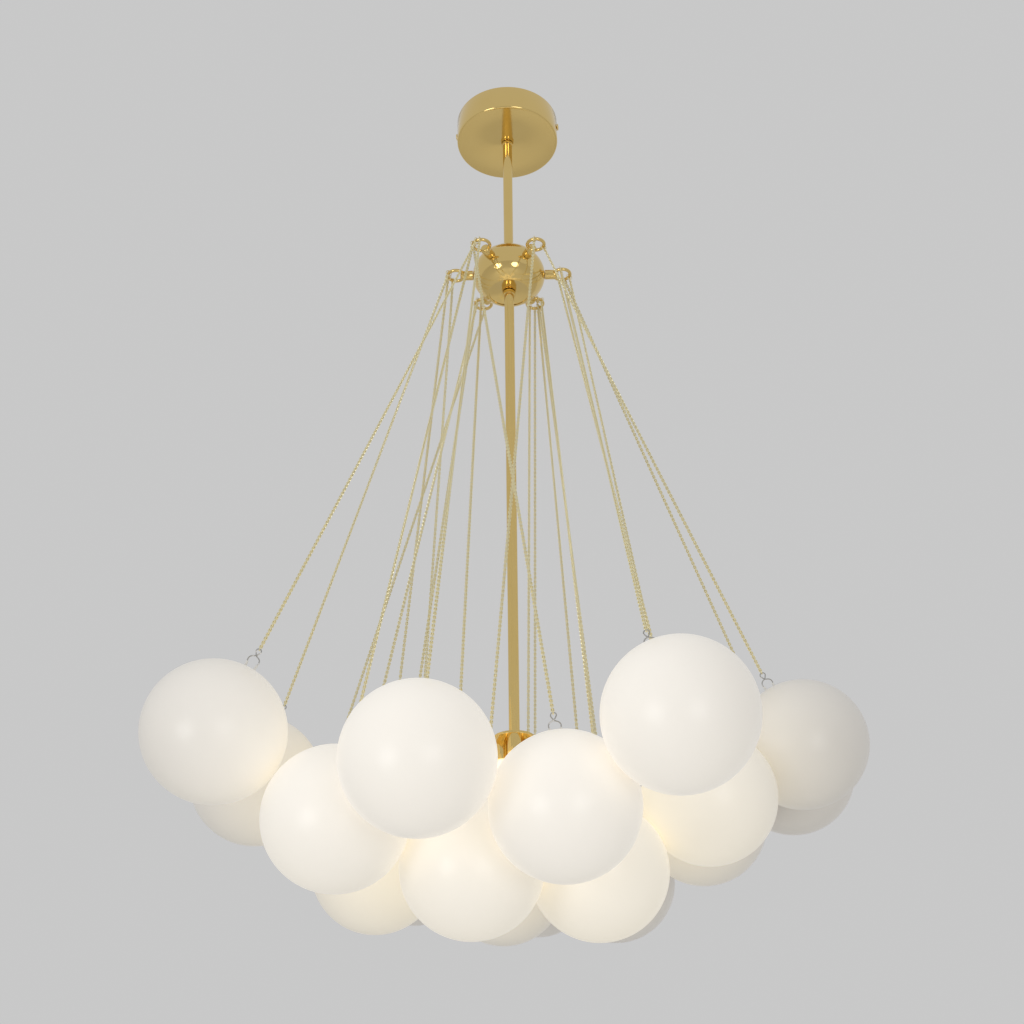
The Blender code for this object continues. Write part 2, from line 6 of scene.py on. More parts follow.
import json
from math import asin, atan2, cos, pi, radians, sin, sqrt, tau

import bmesh
import bpy
from bpy.props import FloatProperty, FloatVectorProperty, IntProperty, PointerProperty
from mathutils import Matrix, Vector


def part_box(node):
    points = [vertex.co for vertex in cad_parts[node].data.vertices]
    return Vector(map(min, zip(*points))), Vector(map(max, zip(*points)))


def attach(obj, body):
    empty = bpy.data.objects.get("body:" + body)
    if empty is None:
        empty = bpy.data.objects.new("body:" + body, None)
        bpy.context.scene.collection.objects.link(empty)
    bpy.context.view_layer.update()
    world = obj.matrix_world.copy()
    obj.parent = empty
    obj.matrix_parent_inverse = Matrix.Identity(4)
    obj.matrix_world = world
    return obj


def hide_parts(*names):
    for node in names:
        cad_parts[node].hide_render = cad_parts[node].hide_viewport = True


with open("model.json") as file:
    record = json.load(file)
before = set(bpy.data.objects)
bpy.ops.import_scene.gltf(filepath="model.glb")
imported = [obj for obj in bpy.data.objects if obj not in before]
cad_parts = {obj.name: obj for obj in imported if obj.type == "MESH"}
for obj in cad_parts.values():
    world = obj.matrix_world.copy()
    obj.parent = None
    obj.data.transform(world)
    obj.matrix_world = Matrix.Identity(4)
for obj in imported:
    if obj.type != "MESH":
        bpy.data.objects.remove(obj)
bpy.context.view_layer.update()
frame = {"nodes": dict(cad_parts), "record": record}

bl_info = {
    "name": "Cluster chandelier",
    "version": (1, 0, 0),
    "blender": (4, 5, 0),
    "location": "View3D > Sidebar > Chandelier",
    "description": "Builds the pieces, finishes and stage of a chandelier with hanging glass globes",
    "category": "Add Mesh",
}

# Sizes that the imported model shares. Levels are heights over the canopy's top, against the ceiling.
FIT_GAP = 0.0003
CANOPY_TURN = radians(-7)
CANOPY_HEIGHT = 0.036
CANOPY_RADIUS = 0.070
CANOPY_CORNER_RADIUS = 0.003
SCREW_LEVEL = -0.015
ROD_RADIUS = 0.00635
ROD_BORE_RADIUS = 0.0035
ROD_SPIGOT_RADIUS = 0.005
ROD_NUT_RADIUS = 0.00825
ROD_NUT_HEIGHT = 0.005

# Hub and hooks, whose heights are over HUB_LEVEL
HUB_LEVEL = -0.264
HUB_RADIUS = 0.0483
HUB_WIDEST_DROP = 0.001
HUB_UPPER_BULGE = 0.038
HUB_LOWER_BULGE = 0.036
HUB_TOP_HEIGHT = 0.025
HUB_DEPTH = 0.030
HUB_WALL = 0.002
HUB_LIP = 0.002
HUB_RECESS = 0.0015
HUB_FLOOR = HUB_RECESS - HUB_DEPTH
HOOK_CIRCLE_RADIUS = 0.071
HOOK_RING_RADIUS = 0.011
HOOK_WIRE_RADIUS = 0.00215
HOOK_SPIGOT_RADIUS = 0.002
HOOK_SPIGOT_LENGTH = 0.007
HOOK_STUD_RADIUS = 0.00625
HOOK_STUD_OVERLAP = 0.005

# Lamp, whose heights are over LAMP_LEVEL at its disc's top
LAMP_LEVEL = -0.934
LAMP_DISC_RADIUS = 0.025
LAMP_DISC_FLOOR = -0.003
LAMP_BOSS_RADIUS = 0.009
LAMP_BOSS_FLOOR = -0.024
LAMP_ROD_SEAT = -0.019
SOCKET_COUNT = 3
SOCKET_CIRCLE_RADIUS = 0.0165
SOCKET_RADIUS = 0.008
SOCKET_ROOF = -0.002
SOCKET_FLOOR = -0.025
SOCKET_MOUTH_RADIUS = 0.006
SOCKET_SEAT = -0.015
BULB_BASE_RADIUS = 0.0054
BULB_RADIUS = 0.007
BULB_LENGTH = 0.042

# Globes and clips, whose heights are over the globe's centre or, for the clip's ring, over its glass
GLOBE_RADIUS = 0.075
GLOBE_SPACING = 0.151
GLOBE_HOLE_RADIUS = 0.00725
CLIP_RING_HEIGHT = 0.020
CLIP_LEG_OFFSET = 0.0054
CLIP_FOOT_HEIGHT = 0.07028

# Screw: radius, and distance out from its seat on the canopy
SCREW_OUTLINE = (
    (0, -0.010), (0.002, -0.010), (0.002, 0), (0.0045, 0), (0.0045, 0.0012), (0.0037, 0.0019),
    (0.0020, 0.0022), (0, 0.0022),
)
# Groove round the hub's top: distance in from the rim, and depth
HUB_GROOVE = ((0.0022, 0), (0.0020, 0.0006), (0.0014, 0.0006), (0.0012, 0))
# End of a hook's stud: radius, and distance out from the tip
STUD_TIP = ((HOOK_STUD_RADIUS, -0.0018), (0.0047, -0.0003), (0.0043, -0.0003), (0.0040, 0), (0, 0))

HOOK_PLACES = {
    "right": radians(0),
    "rear_right": radians(60),
    "rear_left": radians(120),
    "left": radians(180),
    "front_left": radians(240),
    "front_right": radians(300),
}

# Each row holds a globe's hook, its x, y and z in globe spacings from the lamp disc's top centre, how far
# its hole leans from the chain in x and y, and its link's place on the hook ring in degrees
GLOBES = (
    ("front_left", -2.03, -1.46, -0.52, 0.15, -0.33, -125),
    ("left", -1.96, -0.12, -0.37, 0.00, 0.00, -150),
    ("front_left", -1.19, -1.43, -1.14, -0.03, 0.00, -160),
    ("rear_left", -1.76, 1.76, -0.03, 0.00, 0.00, 80),
    ("left", -1.07, 1.33, -0.62, -0.12, 0.00, 165),
    ("front_left", -0.60, -2.23, -1.03, 0.00, 0.00, -100),
    ("front_right", -0.30, -1.02, -1.36, 0.07, -0.12, -100),
    ("rear_right", -0.10, 1.07, -0.85, 0.29, -0.04, 130),
    ("front_left", 0.32, -1.79, -1.20, 0.01, -0.26, 165),
    ("rear_right", 0.59, -0.57, -1.26, 0.10, 0.00, -40),
    ("rear_right", 0.83, 1.43, -0.74, 0.00, 0.00, 55),
    ("rear_right", 0.19, 2.16, -0.49, -0.03, 0.00, 90),
    ("right", 1.02, -2.40, -0.83, -0.17, -0.28, -100),
    ("right", 1.41, -0.50, -0.69, -0.17, 0.00, -135),
    ("right", 1.48, 0.49, -0.54, -0.13, 0.00, 25),
    ("front_right", 2.19, -0.17, -0.15, -0.05, 0.00, 25),
    ("right", 2.28, 0.82, -0.02, -0.05, 0.00, 70),
    ("left", -0.91, 2.28, -0.34, -0.04, 0.00, 115),
    ("rear_left", -0.81, -0.01, -0.05, -0.54, 0.27, -132),
    ("rear_left", -1.08, 0.38, -0.93, 0.15, 0.25, -170),
    ("rear_left", -0.68, -0.92, -0.44, 0.46, 0.19, -105),
    ("rear_right", 0.49, 0.46, -0.32, 0.09, 0.31, -75),
)

# Painted glow of the lamp in the globes: its centre, how far its full strength reaches, and the places
# along +Y between which it turns warmer
PAINTED_GLOW_CENTRE = (0, -0.20, -1.12)
PAINTED_GLOW_FULL_REACH = 0.22
PAINTED_GLOW_PALE_Y = -0.30
PAINTED_GLOW_WARM_Y = 0.0

# Each row holds a studio lamp's name, place, width, power, and whether the brass mirrors it
STUDIO_LAMPS = (
    ("key_lamp", (-1.88, -2.5, -1.81), 1.25, 14, True),
    ("fill_lamp", (1.12, -3.0, -1.81), 1.25, 10, True),
    ("high_lamp", (-1.4, -1.8, 1.6), 3.0, 16, False),
    ("back_lamp", (1.0, 2.9, -0.6), 3.0, 16, False),
)
STUDIO_LAMP_AIM = Vector((0, 0, -0.8))

# Camera, with its angles in radians and its sensor and lens in millimetres
CAMERA_PLACE = (0, -1.7037, -1.6242)
CAMERA_PITCH = 0.4218
CAMERA_YAW = -0.0012
CAMERA_ROLL = 0.0114
CAMERA_SENSOR_WIDTH = 36
CAMERA_LENS = 55.29
CAMERA_SHIFT_Y = 0.164

# Places of the colour sockets on a Mix node
FIRST_COLOUR, SECOND_COLOUR, MIXED_COLOUR = 6, 7, 2

# Values between which most of a noise texture lies
NOISE_LOW, NOISE_HIGH = 0.3, 0.7

CORNER_POINTS = 9
HUB_SIDE_POINTS = 28
MERGE_DISTANCE = 0.000001
SHARP_ANGLE = radians(30)
UP = Vector((0, 0, 1))
RIGHT = Vector((1, 0, 0))


class ChandelierSizes(bpy.types.PropertyGroup):
    """Sizes of the fine detail, and the reach of the glow painted into the globes."""

    turned_steps: IntProperty(
        name="Turned steps", description="Steps round the canopy and the hub", default=128, min=16
    )
    edge_rounding: FloatProperty(
        name="Edge rounding", description="Rounding of the turned edges", default=0.0005, unit="LENGTH"
    )
    canopy_wall: FloatProperty(
        name="Canopy wall", description="Thickness of the canopy's sheet", default=0.0015, unit="LENGTH"
    )
    collar_radius: FloatProperty(
        name="Collar radius", description="Radius of the rod's upper collar", default=0.00775, unit="LENGTH"
    )
    collar_height: FloatProperty(
        name="Collar height", description="Height of the rod's upper collar", default=0.004, unit="LENGTH"
    )
    chain_pitch: FloatProperty(
        name="Chain pitch", description="Distance from link to link", default=0.0029, unit="LENGTH"
    )
    chain_width: FloatProperty(
        name="Chain width", description="Width of a link between its wires' centres", default=0.0028,
        unit="LENGTH",
    )
    chain_wire: FloatProperty(
        name="Chain wire", description="Diameter of a link's wire", default=0.0014, unit="LENGTH"
    )
    link_radius: FloatProperty(
        name="End link radius", description="Radius of the link on the hook", default=0.0039,
        unit="LENGTH",
    )
    link_wire: FloatProperty(
        name="End link wire", description="Diameter of the end link's wire", default=0.0011,
        unit="LENGTH",
    )
    clip_ring_radius: FloatProperty(
        name="Clip ring radius", description="Radius of the wire clip's ring", default=0.0029,
        unit="LENGTH",
    )
    clip_wire: FloatProperty(
        name="Clip wire", description="Diameter of the wire clip", default=0.0013, unit="LENGTH"
    )
    sleeve_diameter: FloatProperty(
        name="Sleeve diameter", description="Diameter of the clip's soft sleeves", default=0.0026,
        unit="LENGTH",
    )
    glass_wall: FloatProperty(
        name="Glass wall", description="Thickness of a globe's glass", default=0.003, unit="LENGTH"
    )
    # Reach of the painted glow: emission in the globes that stands in for the lamp's light
    painted_glow_reach: FloatProperty(
        name="Glow reach", description="How far the lamp's glow carries in the globes", default=0.44,
        unit="LENGTH",
    )


class ChandelierColours(bpy.types.PropertyGroup):
    """Colours of the finishes, and of the glow painted into the globes."""

    brass: FloatVectorProperty(
        name="Brass", description="Polished brass", subtype="COLOR", default=(0.83, 0.62, 0.25),
        min=0, max=1,
    )
    brass_shade: FloatVectorProperty(
        name="Brass shade", description="Darker patches of the brass", subtype="COLOR",
        default=(0.79, 0.58, 0.22), min=0, max=1,
    )
    chain: FloatVectorProperty(
        name="Chain", description="Pale brass of the chains", subtype="COLOR",
        default=(0.98, 0.90, 0.60), min=0, max=1,
    )
    steel: FloatVectorProperty(
        name="Steel", description="Clips and bracket", subtype="COLOR", default=(0.52, 0.51, 0.49),
        min=0, max=1,
    )
    glass: FloatVectorProperty(
        name="Glass", description="Opal glass", subtype="COLOR", default=(0.86, 0.825, 0.77),
        min=0, max=1,
    )
    # The glow colours below are painted glow: emission in the glass that stands in for the lamp's light
    glow: FloatVectorProperty(
        name="Glow", description="Light of the lamp in the opal glass", subtype="COLOR",
        default=(0.235, 0.222, 0.198), min=0, max=1,
    )
    painted_warm_glow: FloatVectorProperty(
        name="Warm glow", description="Light of the lamp in the rear globes", subtype="COLOR",
        default=(0.27, 0.235, 0.15), min=0, max=1,
    )
    painted_inner_glow: FloatVectorProperty(
        name="Inner glow", description="Light on the inner faces of the globes", subtype="COLOR",
        default=(0.14, 0.135, 0.12), min=0, max=1,
    )
    sleeve: FloatVectorProperty(
        name="Sleeve", description="Soft sleeves of the clips", subtype="COLOR",
        default=(0.80, 0.79, 0.76), min=0, max=1,
    )


class ChandelierStage(bpy.types.PropertyGroup):
    """Floor, background and lamps."""

    floor_level: FloatProperty(
        name="Floor level", description="Height of the floor", default=-2.8, unit="LENGTH"
    )
    floor_radius: FloatProperty(
        name="Floor radius", description="Radius of the floor", default=14.0, unit="LENGTH"
    )
    floor_colour: FloatVectorProperty(
        name="Floor colour", description="Pale floor", subtype="COLOR", default=(0.80, 0.79, 0.77),
        min=0, max=1,
    )
    background: FloatVectorProperty(
        name="Background", description="Pale background", subtype="COLOR", default=(0.58, 0.58, 0.58),
        min=0, max=1,
    )
    lamp_level: FloatProperty(
        name="Lamp level", description="Share of the studio lamps' power", default=1.0, min=0
    )


def new_material(name, roughness, metallic):
    """Make a material and return it with a function that adds nodes and one that links them."""
    material = bpy.data.materials.new(name)
    material.use_nodes = True
    tree = material.node_tree
    shader = tree.nodes["Principled BSDF"]
    shader.inputs["Roughness"].default_value = roughness
    shader.inputs["Metallic"].default_value = metallic

    def add(kind, **values):
        """Add a node and set its inputs or properties by name."""
        node = tree.nodes.new(kind)
        for key, value in values.items():
            if key in node.inputs:
                node.inputs[key].default_value = value
            else:
                setattr(node, key, value)
        return node

    return material, shader, add, tree.links.new


def noise_on(add, link, vector, scale, detail=3.0):
    """Add a noise texture that reads the given vector and return its factor."""
    noise = add("ShaderNodeTexNoise", Scale=scale, Detail=detail)
    link(vector, noise.inputs["Vector"])
    return noise.outputs["Fac"]


def spread(add, link, factor, low, high):
    """Map a noise factor to a range of values."""
    values = {"From Min": NOISE_LOW, "From Max": NOISE_HIGH, "To Min": low, "To Max": high}
    ramp = add("ShaderNodeMapRange", **values)
    link(factor, ramp.inputs["Value"])
    return ramp.outputs["Result"]


def two_tones(add, link, factor, first, second):
    """Mix two colours by a factor."""
    mix = add("ShaderNodeMix", data_type="RGBA")
    mix.inputs[FIRST_COLOUR].default_value = (*first, 1.0)
    mix.inputs[SECOND_COLOUR].default_value = (*second, 1.0)
    link(factor, mix.inputs["Factor"])
    return mix.outputs[MIXED_COLOUR]


def shade(colour, share):
    """A colour with each of its channels lowered to a share."""
    return [share * channel for channel in colour]


def turned_vector(add, link):
    """Object coordinates, and a vector of radius and height that draws lines round a turned piece."""
    place = add("ShaderNodeTexCoord").outputs["Object"]
    split = add("ShaderNodeSeparateXYZ")
    link(place, split.inputs["Vector"])
    level = add("ShaderNodeCombineXYZ")
    link(split.outputs["X"], level.inputs["X"])
    link(split.outputs["Y"], level.inputs["Y"])
    length = add("ShaderNodeVectorMath", operation="LENGTH")
    link(level.outputs["Vector"], length.inputs[0])
    lines = add("ShaderNodeCombineXYZ")
    link(length.outputs["Value"], lines.inputs["X"])
    link(split.outputs["Z"], lines.inputs["Z"])
    return place, lines.outputs["Vector"]


def polished_brass(colours):
    """Brass with soft tone patches and faint lines left by the polishing wheel."""
    material = bpy.data.materials.get("polished_brass_finish")
    if material:
        return material
    material, shader, add, link = new_material("polished_brass_finish", 0.14, 1.0)
    place, lines = turned_vector(add, link)
    patches = noise_on(add, link, place, scale=26.0)
    link(two_tones(add, link, patches, colours.brass, colours.brass_shade), shader.inputs["Base Color"])
    wheel = noise_on(add, link, lines, scale=2400.0, detail=2.0)
    smears = noise_on(add, link, place, scale=70.0, detail=4.0)
    both = add("ShaderNodeMath", operation="MULTIPLY")
    link(spread(add, link, wheel, low=0.9, high=1.1), both.inputs[0])
    link(spread(add, link, smears, low=0.08, high=0.11), both.inputs[1])
    link(both.outputs["Value"], shader.inputs["Roughness"])
    bump = add("ShaderNodeBump", Strength=0.01, Distance=0.00003)
    link(wheel, bump.inputs["Height"])
    link(bump.outputs["Normal"], shader.inputs["Normal"])
    return material


def chain_brass(colours):
    """Paler drawn brass of the chains and their end links."""
    material = bpy.data.materials.get("chain_brass_finish")
    if material:
        return material
    material, shader, add, link = new_material("chain_brass_finish", 0.34, 0.8)
    place = add("ShaderNodeTexCoord").outputs["Object"]
    tone = noise_on(add, link, place, scale=420.0)
    darker = shade(colours.chain, 0.85)
    link(two_tones(add, link, tone, colours.chain, darker), shader.inputs["Base Color"])
    rubs = noise_on(add, link, place, scale=900.0)
    link(spread(add, link, rubs, low=0.28, high=0.42), shader.inputs["Roughness"])
    return material


def drawn_steel(colours):
    """Grey spring wire with fine draw marks."""
    material = bpy.data.materials.get("drawn_steel_finish")
    if material:
        return material
    material, shader, add, link = new_material("drawn_steel_finish", 0.26, 1.0)
    place = add("ShaderNodeTexCoord").outputs["Object"]
    marks = noise_on(add, link, place, scale=1500.0, detail=4.0)
    darker = shade(colours.steel, 0.85)
    link(two_tones(add, link, marks, colours.steel, darker), shader.inputs["Base Color"])
    link(spread(add, link, marks, low=0.20, high=0.34), shader.inputs["Roughness"])
    return material


def plated_steel(colours):
    """Pressed steel of the ceiling bracket, with the spangle of its zinc coat."""
    material, shader, add, link = new_material("plated_steel_finish", 0.40, 1.0)
    place = add("ShaderNodeTexCoord").outputs["Object"]
    spangle = add("ShaderNodeTexVoronoi", Scale=260.0)
    link(place, spangle.inputs["Vector"])
    tone = spread(add, link, spangle.outputs["Distance"], low=0.0, high=1.0)
    darker = shade(colours.steel, 0.82)
    link(two_tones(add, link, tone, colours.steel, darker), shader.inputs["Base Color"])
    haze = noise_on(add, link, place, scale=120.0)
    link(spread(add, link, haze, low=0.34, high=0.50), shader.inputs["Roughness"])
    bump = add("ShaderNodeBump", Strength=0.2, Distance=0.0001)
    link(spangle.outputs["Distance"], bump.inputs["Height"])
    link(bump.outputs["Normal"], shader.inputs["Normal"])
    return material


def opal_glass(colours, sizes):
    """Satin opal glass. Its soft glow is painted: an emission that is strongest near the lamp and turns
    warmer towards +Y, the rear.
    """
    material, shader, add, link = new_material("opal_glass_finish_and_painted_glow", 0.45, 0.0)
    place = add("ShaderNodeTexCoord").outputs["Object"]
    cloud = noise_on(add, link, place, scale=9.0, detail=2.0)
    darker = shade(colours.glass, 0.96)
    link(two_tones(add, link, cloud, colours.glass, darker), shader.inputs["Base Color"])
    satin = noise_on(add, link, place, scale=1300.0)
    link(spread(add, link, satin, low=0.31, high=0.37), shader.inputs["Roughness"])
    bump = add("ShaderNodeBump", Strength=0.04, Distance=0.0001)
    link(satin, bump.inputs["Height"])
    link(bump.outputs["Normal"], shader.inputs["Normal"])
    shader.inputs["IOR"].default_value = 1.5
    # Painted glow: emission by distance from the lamp's centre, full nearby and fading out further off,
    # tinted warmer towards +Y
    reach = add("ShaderNodeVectorMath", operation="DISTANCE")
    link(place, reach.inputs[0])
    reach.inputs[1].default_value = PAINTED_GLOW_CENTRE
    fade = add("ShaderNodeMapRange", interpolation_type="SMOOTHSTEP")
    link(reach.outputs["Value"], fade.inputs["Value"])
    fade.inputs["From Min"].default_value = PAINTED_GLOW_FULL_REACH
    fade.inputs["From Max"].default_value = sizes.painted_glow_reach
    split = add("ShaderNodeSeparateXYZ")
    link(place, split.inputs["Vector"])
    behind = add("ShaderNodeMapRange")
    link(split.outputs["Y"], behind.inputs["Value"])
    behind.inputs["From Min"].default_value = PAINTED_GLOW_PALE_Y
    behind.inputs["From Max"].default_value = PAINTED_GLOW_WARM_Y
    near = two_tones(add, link, behind.outputs["Result"], colours.glow, colours.painted_warm_glow)
    glow = add("ShaderNodeMix", data_type="RGBA")
    link(near, glow.inputs[FIRST_COLOUR])
    glow.inputs[SECOND_COLOUR].default_value = (0, 0, 0, 1)
    link(fade.outputs["Result"], glow.inputs["Factor"])
    link(glow.outputs[MIXED_COLOUR], shader.inputs["Emission Color"])
    shader.inputs["Emission Strength"].default_value = 1.0
    return material


def opal_inside(colours):
    """Inner face of the opal glass, kept bright by a painted glow: an even emission that stands in for the
    light within.
    """
    material, shader, add, link = new_material("opal_inside_finish_and_painted_glow", 0.5, 0.0)
    place = add("ShaderNodeTexCoord").outputs["Object"]
    cloud = noise_on(add, link, place, scale=12.0, detail=2.0)
    darker = shade(colours.glass, 0.96)
    link(two_tones(add, link, cloud, colours.glass, darker), shader.inputs["Base Color"])
    link(spread(add, link, cloud, low=0.45, high=0.55), shader.inputs["Roughness"])
    # Painted glow: an even emission on the inner faces, standing in for light inside the globe
    shader.inputs["Emission Color"].default_value = (*colours.painted_inner_glow, 1.0)
    shader.inputs["Emission Strength"].default_value = 1.0
    return material


def soft_sleeve(colours):
    """Milky rubber of the clips' sleeves."""
    material = bpy.data.materials.get("soft_sleeve_finish")
    if material:
        return material
    material, shader, add, link = new_material("soft_sleeve_finish", 0.55, 0.0)
    place = add("ShaderNodeTexCoord").outputs["Object"]
    cloud = noise_on(add, link, place, scale=700.0)
    darker = shade(colours.sleeve, 0.93)
    link(two_tones(add, link, cloud, colours.sleeve, darker), shader.inputs["Base Color"])
    link(spread(add, link, cloud, low=0.48, high=0.62), shader.inputs["Roughness"])
    return material


def lit_bulb():
    """Frosted bulb glass, softly alight."""
    material, shader, add, link = new_material("lit_bulb_finish", 0.35, 0.0)
    place = add("ShaderNodeTexCoord").outputs["Object"]
    frost = noise_on(add, link, place, scale=500.0)
    pale, dark = (0.92, 0.88, 0.78), (0.86, 0.81, 0.70)
    link(two_tones(add, link, frost, pale, dark), shader.inputs["Base Color"])
    link(spread(add, link, frost, low=0.30, high=0.42), shader.inputs["Roughness"])
    shader.inputs["Emission Color"].default_value = (1.0, 0.86, 0.62, 1.0)
    shader.inputs["Emission Strength"].default_value = 0.8
    return material


def body_of(node):
    """Name of the body that a CAD node belongs to."""
    for body, nodes in frame["record"]["behaviour"]["bodies"].items():
        if node in nodes:
            return body
    raise ValueError(f"no body holds {node}")


def turned(outline, steps, closed=False):
    """Spin an outline of (radius, height) points round Z. An open outline starts and ends on the axis."""
    bm = bmesh.new()
    points = [bm.verts.new((radius, 0, height)) for radius, height in outline]
    edges = [bm.edges.new(pair) for pair in zip(points, points[1:])]
    if closed:
        edges.append(bm.edges.new((points[-1], points[0])))
    bmesh.ops.spin(
        bm, geom=points + edges, cent=(0, 0, 0), axis=UP, angle=tau, steps=steps, use_merge=True
    )
    bmesh.ops.remove_doubles(bm, verts=bm.verts, dist=MERGE_DISTANCE)
    bmesh.ops.recalc_face_normals(bm, faces=bm.faces)
    return bm


def round_edges(bm, width, segments=2):
    """Bevel the edges that turn sharply."""
    sharp = [edge for edge in bm.edges if edge.is_manifold and edge.calc_face_angle() > SHARP_ANGLE]
    bmesh.ops.bevel(
        bm, geom=sharp, offset=width, segments=segments, profile=0.5, affect="EDGES", material=-1,
        clamp_overlap=True,
    )


def wire_ring(ring_radius, wire_radius, steps, sides):
    """Round wire bent into a level ring."""
    bm = bmesh.new()
    place = Matrix.Translation((ring_radius, 0, 0)) @ Matrix.Rotation(pi / 2, 4, "X")
    section = bmesh.ops.create_circle(bm, segments=sides, radius=wire_radius, matrix=place)["verts"]
    bmesh.ops.spin(
        bm, geom=section + list(bm.edges), cent=(0, 0, 0), axis=UP, angle=tau, steps=steps, use_merge=True
    )
    bmesh.ops.remove_doubles(bm, verts=bm.verts, dist=MERGE_DISTANCE)
    bmesh.ops.recalc_face_normals(bm, faces=bm.faces)
    return bm


def joined(*parts):
    """Put several bmeshes, each with its matrix, into one."""
    whole = bmesh.new()
    for part, matrix in parts:
        bmesh.ops.transform(part, matrix=matrix, verts=part.verts)
        mesh = bpy.data.meshes.new("part")
        part.to_mesh(mesh)
        part.free()
        whole.from_mesh(mesh)
        bpy.data.meshes.remove(mesh)
    return whole


def bent_wire(points, radius, sides, steps):
    """Round wire through the points, as a bmesh made from a bevelled curve."""
    curve = bpy.data.curves.new("wire", "CURVE")
    curve.dimensions = "3D"
    curve.bevel_depth = radius
    curve.bevel_resolution = sides // 2 - 2
    curve.resolution_u = steps
    curve.use_fill_caps = True
    spline = curve.splines.new("BEZIER")
    spline.bezier_points.add(len(points) - 1)
    for spline_point, point in zip(spline.bezier_points, points):
        spline_point.co = point
        spline_point.handle_left_type = spline_point.handle_right_type = "AUTO"
    guide = bpy.data.objects.new("wire", curve)
    bpy.context.scene.collection.objects.link(guide)
    depsgraph = bpy.context.evaluated_depsgraph_get()
    mesh = bpy.data.meshes.new_from_object(guide.evaluated_get(depsgraph))
    bm = bmesh.new()
    bm.from_mesh(mesh)
    bpy.data.objects.remove(guide)
    bpy.data.curves.remove(curve)
    bpy.data.meshes.remove(mesh)
    bmesh.ops.remove_doubles(bm, verts=bm.verts, dist=MERGE_DISTANCE)
    bmesh.ops.recalc_face_normals(bm, faces=bm.faces)
    return bm


def arc(centre_radius, centre_height, radius, start, end, count):
    """Points of a circular arc in an outline, both ends included."""
    return [
        (
            centre_radius + radius * cos(start + (end - start) * i / (count - 1)),
            centre_height + radius * sin(start + (end - start) * i / (count - 1)),
        )
        for i in range(count)
    ]


def turn_to_side(angle):
    """Matrix that lays the Z axis level, pointing out at the given angle round the rod."""
    return Matrix.Rotation(angle, 4, "Z") @ Matrix.Rotation(pi / 2, 4, "Y")


def frame_at(place, up, side):
    """Matrix with its origin at the place, Z along up and X as near to side as it can be."""
    x = (side - side.dot(up) * up).normalized()
    return Matrix.Translation(place) @ Matrix((x, up.cross(x), up)).transposed().to_4x4()


def add_piece(name, bm, matrix, material, slot, body, *replaced):
    """Put a bmesh in its place as one finished piece that rides on a body."""
    bmesh.ops.transform(bm, matrix=matrix, verts=bm.verts)
    mesh = bpy.data.meshes.new(name)
    bm.to_mesh(mesh)
    bm.free()
    mesh.materials.append(material)
    mesh.shade_smooth()
    mesh.set_sharp_from_angle(angle=SHARP_ANGLE)
    piece = bpy.data.objects.new(name, mesh)
    bpy.context.scene.collection.objects.link(piece)
    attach(piece, body)
    if replaced:
        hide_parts(*replaced)
    return piece


class CHANDELIER_OT_stage(bpy.types.Operator):
    """Make the floor, the background, the lamps and the camera"""

    bl_idname = "chandelier.make_stage"
    bl_label = "Stage"

    def execute(self, context):
        stage = context.scene.chandelier_stage
        self.make_floor(stage)
        self.make_background(context, stage)
        self.make_lamps(stage)
        self.make_camera(context)
        return {"FINISHED"}

    def make_floor(self, stage):
        """Pale round floor below the globes."""
        bm = bmesh.new()
        bmesh.ops.create_circle(
            bm, cap_ends=True, segments=96, radius=stage.floor_radius,
            matrix=Matrix.Translation((0, 0, stage.floor_level)),
        )
        mesh = bpy.data.meshes.new("floor")
        bm.to_mesh(mesh)
        bm.free()
        material, shader, add, link = new_material("floor_finish", 0.7, 0.0)
        place = add("ShaderNodeTexCoord").outputs["Object"]
        tone = noise_on(add, link, place, scale=1.5)
        darker = shade(stage.floor_colour, 0.97)
        link(two_tones(add, link, tone, stage.floor_colour, darker), shader.inputs["Base Color"])
        mesh.materials.append(material)
        floor = bpy.data.objects.new("floor", mesh)
        bpy.context.scene.collection.objects.link(floor)

    def make_background(self, context, stage):
        """Pale world that lights the object evenly."""
        world = bpy.data.worlds.new("background")
        world.use_nodes = True
        world.node_tree.nodes["Background"].inputs["Color"].default_value = (*stage.background, 1.0)
        context.scene.world = world

    def make_lamps(self, stage):
        """Large soft studio lamps that the camera doesn't see."""
        for name, place, width, power, mirrored in STUDIO_LAMPS:
            light = bpy.data.lights.new(name, "AREA")
            light.shape = "DISK"
            light.size = width
            light.energy = power * stage.lamp_level
            lamp = bpy.data.objects.new(name, light)
            lamp.location = place
            ahead = STUDIO_LAMP_AIM - lamp.location
            lamp.rotation_euler = ahead.to_track_quat("-Z", "Y").to_euler()
            lamp.visible_camera = False
            lamp.visible_glossy = mirrored
            bpy.context.scene.collection.objects.link(lamp)

    def make_camera(self, context):
        """Camera at the photograph's viewing angle."""
        pitch, yaw, roll = CAMERA_PITCH, CAMERA_YAW, CAMERA_ROLL
        ahead = Vector((sin(yaw) * cos(pitch), cos(yaw) * cos(pitch), sin(pitch)))
        level = Vector((cos(yaw), -sin(yaw), 0))
        down = ahead.cross(level)
        across = cos(roll) * level + sin(roll) * down
        upwards = sin(roll) * level - cos(roll) * down
        axes = Matrix((across, upwards, -ahead)).transposed()
        data = bpy.data.cameras.new("camera")
        data.sensor_width = CAMERA_SENSOR_WIDTH
        data.lens = CAMERA_LENS
        data.shift_y = CAMERA_SHIFT_Y
        camera = bpy.data.objects.new("camera", data)
        camera.matrix_world = Matrix.Translation(CAMERA_PLACE) @ axes.to_4x4()
        bpy.context.scene.collection.objects.link(camera)
        context.scene.camera = camera


